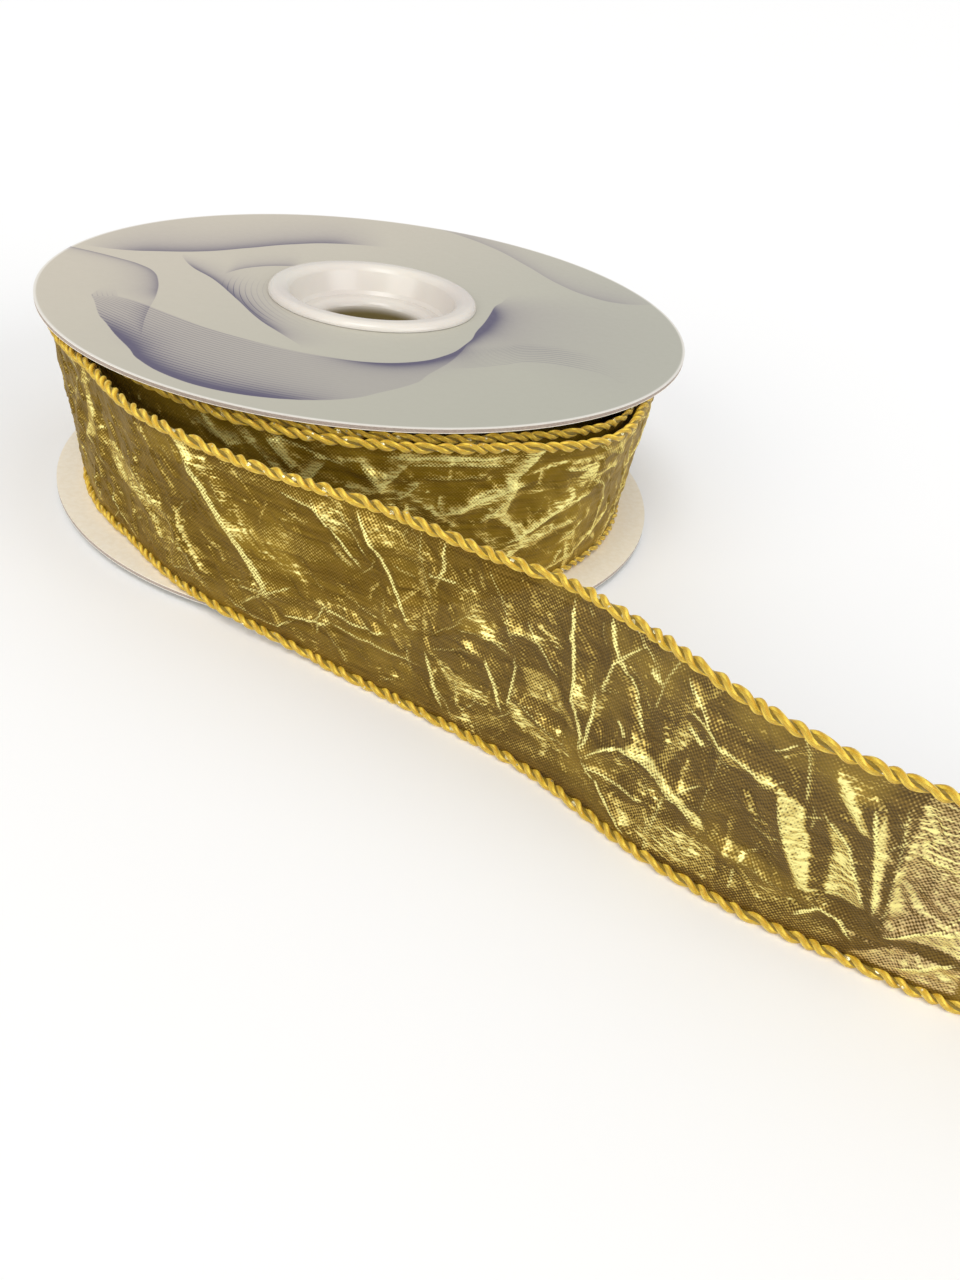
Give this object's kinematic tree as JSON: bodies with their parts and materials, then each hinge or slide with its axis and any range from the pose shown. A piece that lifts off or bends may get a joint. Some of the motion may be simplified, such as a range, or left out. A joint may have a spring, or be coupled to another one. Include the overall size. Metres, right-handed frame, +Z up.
{
  "type": "ribbon spool",
  "caption": "Reel of sheer wired gift ribbon: two paperboard flanges that turn on a snap-together plastic hub, a wound roll and a free end standing on edge.",
  "frame": {"origin": "on the reel's axis, on the plane that the lower hub rim rests on", "axes": "+Z up along the hub bore, +X to the right and -Y towards the viewer, where the free end of the ribbon runs round the front"},
  "size_m": [0.1797, 0.2273, 0.0443],
  "materials": {
    "hub_plastic": "gloss, injection moulded, white",
    "core_board": "matt spiral-wound paperboard",
    "tape": "matt adhesive tape",
    "flange_board": "matt greyboard, cut edge",
    "flange_facing": null,
    "flange_liner": "matt cream paper",
    "ribbon_web": "sheer metallic lame, crinkled",
    "ribbon_binding": "overlocked thread with metallic glints",
    "wire": "fine drawn wire"
  },
  "bodies": {
    "reel": {"upper_hub": "hub_plastic", "lower_hub": "hub_plastic", "core_tube": "core_board", "core_tape": "tape", "wound_web": "ribbon_web", "wound_upper_binding": "ribbon_binding", "wound_lower_binding": "ribbon_binding", "loose_turn_web": "ribbon_web", "loose_turn_upper_binding": "ribbon_binding", "loose_turn_lower_binding": "ribbon_binding", "loose_turn_upper_wire": "wire", "loose_turn_lower_wire": "wire"},
    "upper_flange": {"upper_flange_board": "flange_board", "upper_flange_facing": "flange_facing", "upper_flange_liner": "flange_liner"},
    "lower_flange": {"lower_flange_board": "flange_board", "lower_flange_facing": "flange_facing", "lower_flange_liner": "flange_liner"},
    "tail": {"tail_web": "ribbon_web", "tail_upper_binding": "ribbon_binding", "tail_lower_binding": "ribbon_binding", "tail_upper_wire": "wire", "tail_lower_wire": "wire"}
  },
  "joints": [
    {"name": "upper_flange_turn", "type": "hinge", "parent": "reel", "child": "upper_flange", "pos_m": [0, 0, 0.0424], "axis": [0, 0, 1], "continuous": true},
    {"name": "lower_flange_turn", "type": "hinge", "parent": "reel", "child": "lower_flange", "pos_m": [0, 0, 0.002], "axis": [0, 0, 1], "continuous": true},
    {"name": "tail_peel", "type": "hinge", "parent": "reel", "child": "tail", "pos_m": [-0.049, -0.0456, 0.0215], "axis": [0, 0, -1], "range_deg": [0, 25]}
  ]
}
